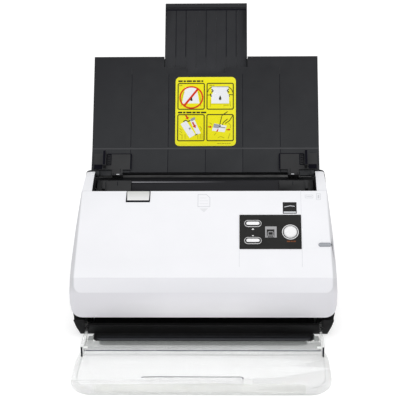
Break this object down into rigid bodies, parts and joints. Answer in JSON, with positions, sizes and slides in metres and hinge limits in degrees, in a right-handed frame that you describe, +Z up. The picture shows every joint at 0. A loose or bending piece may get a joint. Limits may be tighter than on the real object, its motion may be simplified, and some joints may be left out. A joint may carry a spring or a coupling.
{
  "type": "sheet fed document scanner",
  "caption": "Desktop sheet fed document scanner with a folding paper chute, sliding paper guides, an opening front cover with keys, a driven roller path and a folding clear output tray.",
  "frame": {"origin": "on the desk, under the middle of the bounding box of the part as it stands with chute, extension and tray open", "axes": "+X to the scanner's right as its front is faced, +Y to the back, +Z up"},
  "size_m": [0.3192, 0.441, 0.3496],
  "materials": {
    "white_shell": "satin white moulded plastic",
    "black_shell": "fine textured black moulded plastic",
    "throat_black": "glossy black plastic",
    "panel_black": "black control panel",
    "key_silver": "satin light grey keys",
    "clear_tray": "clear moulded polycarbonate",
    "label_yellow": "printed yellow label",
    "rubber": "matt rubber",
    "steel": "zinc plated steel",
    "bronze": "sintered bronze",
    "gear_plastic": "natural acetal",
    "circuit_board": "green solder mask",
    "sensor": "black sensor housing",
    "sensor_glass": "flat glass strip"
  },
  "bodies": {
    "root": {"base_tub": "black_shell", "rubber_foot_1": "rubber", "rubber_foot_2": "rubber", "rubber_foot_3": "rubber", "rubber_foot_4": "rubber", "left_side_cover": "white_shell", "right_side_cover": "white_shell", "rear_housing": "black_shell", "rear_guide_frame": "black_shell", "throat_plate": "throat_black", "rear_image_sensor": "sensor", "rear_sensor_glass": "sensor_glass", "right_side_plate": "steel", "left_side_plate": "steel", "transport_bush_left": "bronze", "transport_bush_right": "bronze", "feed_bush_left": "bronze", "feed_bush_right": "bronze", "drive_motor": "steel", "main_board": "circuit_board", "usb_port": "steel", "dc_jack": "black_shell", "cover_hinge_rod": "steel"},
    "transport_axle": {"transport_shaft": "steel", "transport_roller": "rubber", "transport_gear": "gear_plastic"},
    "exit_axle": {"exit_shaft": "steel", "exit_roller": "rubber", "exit_gear": "gear_plastic"},
    "feed_axle": {"feed_shaft": "steel", "feed_roller": "rubber", "feed_gear": "gear_plastic"},
    "feed_idler": {"feed_idler_gear": "gear_plastic"},
    "path_idler": {"path_idler_gear": "gear_plastic"},
    "reduction": {"reduction_gear": "gear_plastic"},
    "motor_rotor": {"motor_pinion": "gear_plastic"},
    "rocker": {"power_rocker": "black_shell"},
    "cover": {"front_cover": "white_shell", "cover_guide_frame": "black_shell", "front_image_sensor": "sensor", "separation_pad": "rubber", "control_panel": "panel_black", "display_window": "panel_black", "status_light": "key_silver"},
    "transport_pinch": {"transport_pinch_roller": "rubber"},
    "exit_pinch": {"exit_pinch_roller": "rubber"},
    "up_key": {"up_button": "key_silver"},
    "down_key": {"down_button": "key_silver"},
    "scan_key": {"scan_button": "key_silver"},
    "latch": {"cover_latch": "key_silver"},
    "chute": {"paper_chute": "black_shell", "instruction_label": "label_yellow", "rack_cover": "black_shell"},
    "extension": {"chute_extension": "black_shell"},
    "left_guide": {"left_paper_guide": "black_shell"},
    "right_guide": {"right_paper_guide": "black_shell"},
    "guide_gear": {"guide_pinion": "gear_plastic"},
    "left_lower_guide": {"left_throat_guide": "black_shell"},
    "right_lower_guide": {"right_throat_guide": "black_shell"},
    "tray": {"output_tray": "clear_tray"}
  },
  "joints": [
    {"name": "transport_spin", "type": "hinge", "parent": "root", "child": "transport_axle", "pos_m": [0, 0.00966, 0.07557], "axis": [1, 0, 0], "continuous": true},
    {"name": "exit_spin", "type": "hinge", "parent": "root", "child": "exit_axle", "pos_m": [0, -0.03237, 0.03274], "axis": [1, 0, 0], "continuous": true},
    {"name": "feed_spin", "type": "hinge", "parent": "root", "child": "feed_axle", "pos_m": [0, 0.05023, 0.11121], "axis": [1, 0, 0], "continuous": true},
    {"name": "feed_idler_spin", "type": "hinge", "parent": "root", "child": "feed_idler", "pos_m": [0, 0.02994, 0.09339], "axis": [1, 0, 0], "continuous": true},
    {"name": "path_idler_spin", "type": "hinge", "parent": "root", "child": "path_idler", "pos_m": [0, -0.01136, 0.05416], "axis": [1, 0, 0], "continuous": true},
    {"name": "reduction_spin", "type": "hinge", "parent": "root", "child": "reduction", "pos_m": [0, 0.03321, 0.05246], "axis": [1, 0, 0], "continuous": true},
    {"name": "motor_spin", "type": "hinge", "parent": "root", "child": "motor_rotor", "pos_m": [0, 0.05421, 0.05246], "axis": [1, 0, 0], "continuous": true},
    {"name": "rocker_tilt", "type": "hinge", "parent": "root", "child": "rocker", "pos_m": [-0.119, 0.1045, 0.047], "axis": [1, 0, 0], "range_deg": [0, 14]},
    {"name": "cover_hinge", "type": "hinge", "parent": "root", "child": "cover", "pos_m": [0, -0.0603, 0.03], "axis": [1, 0, 0], "range_deg": [0, 75]},
    {"name": "transport_pinch_spin", "type": "hinge", "parent": "cover", "child": "transport_pinch", "pos_m": [0, -0.00005, 0.0851], "axis": [1, 0, 0], "continuous": true},
    {"name": "exit_pinch_spin", "type": "hinge", "parent": "cover", "child": "exit_pinch", "pos_m": [0, -0.04207, 0.04227], "axis": [1, 0, 0], "continuous": true},
    {"name": "up_press", "type": "slide", "parent": "cover", "child": "up_key", "axis": [0, 0.6766, -0.7363], "range_m": [0, 0.001], "stiffness_N_per_m": 400, "springref_m": -0.0005},
    {"name": "down_press", "type": "slide", "parent": "cover", "child": "down_key", "axis": [0, 0.6766, -0.7363], "range_m": [0, 0.001], "stiffness_N_per_m": 400, "springref_m": -0.0005},
    {"name": "scan_press", "type": "slide", "parent": "cover", "child": "scan_key", "axis": [0, 0.6766, -0.7363], "range_m": [0, 0.001], "stiffness_N_per_m": 400, "springref_m": -0.0005},
    {"name": "latch_press", "type": "slide", "parent": "cover", "child": "latch", "axis": [0, 0.6766, -0.7363], "range_m": [0, 0.002], "stiffness_N_per_m": 400, "springref_m": -0.0005},
    {"name": "chute_fold", "type": "hinge", "parent": "root", "child": "chute", "pos_m": [0, 0.0715, 0.162], "axis": [1, 0, 0], "range_deg": [0, 132]},
    {"name": "extension_slide", "type": "slide", "parent": "chute", "child": "extension", "axis": [0, -0.5592, -0.829], "range_m": [0, 0.069]},
    {"name": "left_guide_slide", "type": "slide", "parent": "chute", "child": "left_guide", "axis": [1, 0, 0], "range_m": [0, 0.085]},
    {"name": "right_guide_slide", "type": "slide", "parent": "chute", "child": "right_guide", "axis": [-1, 0, 0], "range_m": [0, 0.085]},
    {"name": "guide_pinion_turn", "type": "hinge", "parent": "chute", "child": "guide_gear", "pos_m": [0, 0.0935, 0.17448], "axis": [0, -0.7431, 0.6691], "range_deg": [0, 325]},
    {"name": "left_lower_guide_slide", "type": "slide", "parent": "root", "child": "left_lower_guide", "axis": [1, 0, 0], "range_m": [0, 0.085]},
    {"name": "right_lower_guide_slide", "type": "slide", "parent": "root", "child": "right_lower_guide", "axis": [-1, 0, 0], "range_m": [0, 0.085]},
    {"name": "tray_fold", "type": "hinge", "parent": "root", "child": "tray", "pos_m": [0, -0.06, 0.014], "axis": [1, 0, 0], "range_deg": [-64, 0]}
  ],
  "couplings": [
    {"joint": "reduction_spin", "follows": "transport_spin", "ratio": -1.2},
    {"joint": "motor_spin", "follows": "transport_spin", "ratio": 3},
    {"joint": "feed_idler_spin", "follows": "transport_spin", "ratio": -2},
    {"joint": "feed_spin", "follows": "transport_spin", "ratio": 1},
    {"joint": "path_idler_spin", "follows": "transport_spin", "ratio": -1.5},
    {"joint": "exit_spin", "follows": "transport_spin", "ratio": 1},
    {"joint": "transport_pinch_spin", "follows": "transport_spin", "ratio": -1.6},
    {"joint": "exit_pinch_spin", "follows": "transport_spin", "ratio": -1.6},
    {"joint": "right_guide_slide", "follows": "left_guide_slide", "ratio": 1},
    {"joint": "guide_pinion_turn", "follows": "left_guide_slide", "rad_per_m": 66.667},
    {"joint": "left_lower_guide_slide", "follows": "left_guide_slide", "ratio": 1},
    {"joint": "right_lower_guide_slide", "follows": "left_guide_slide", "ratio": 1}
  ]
}
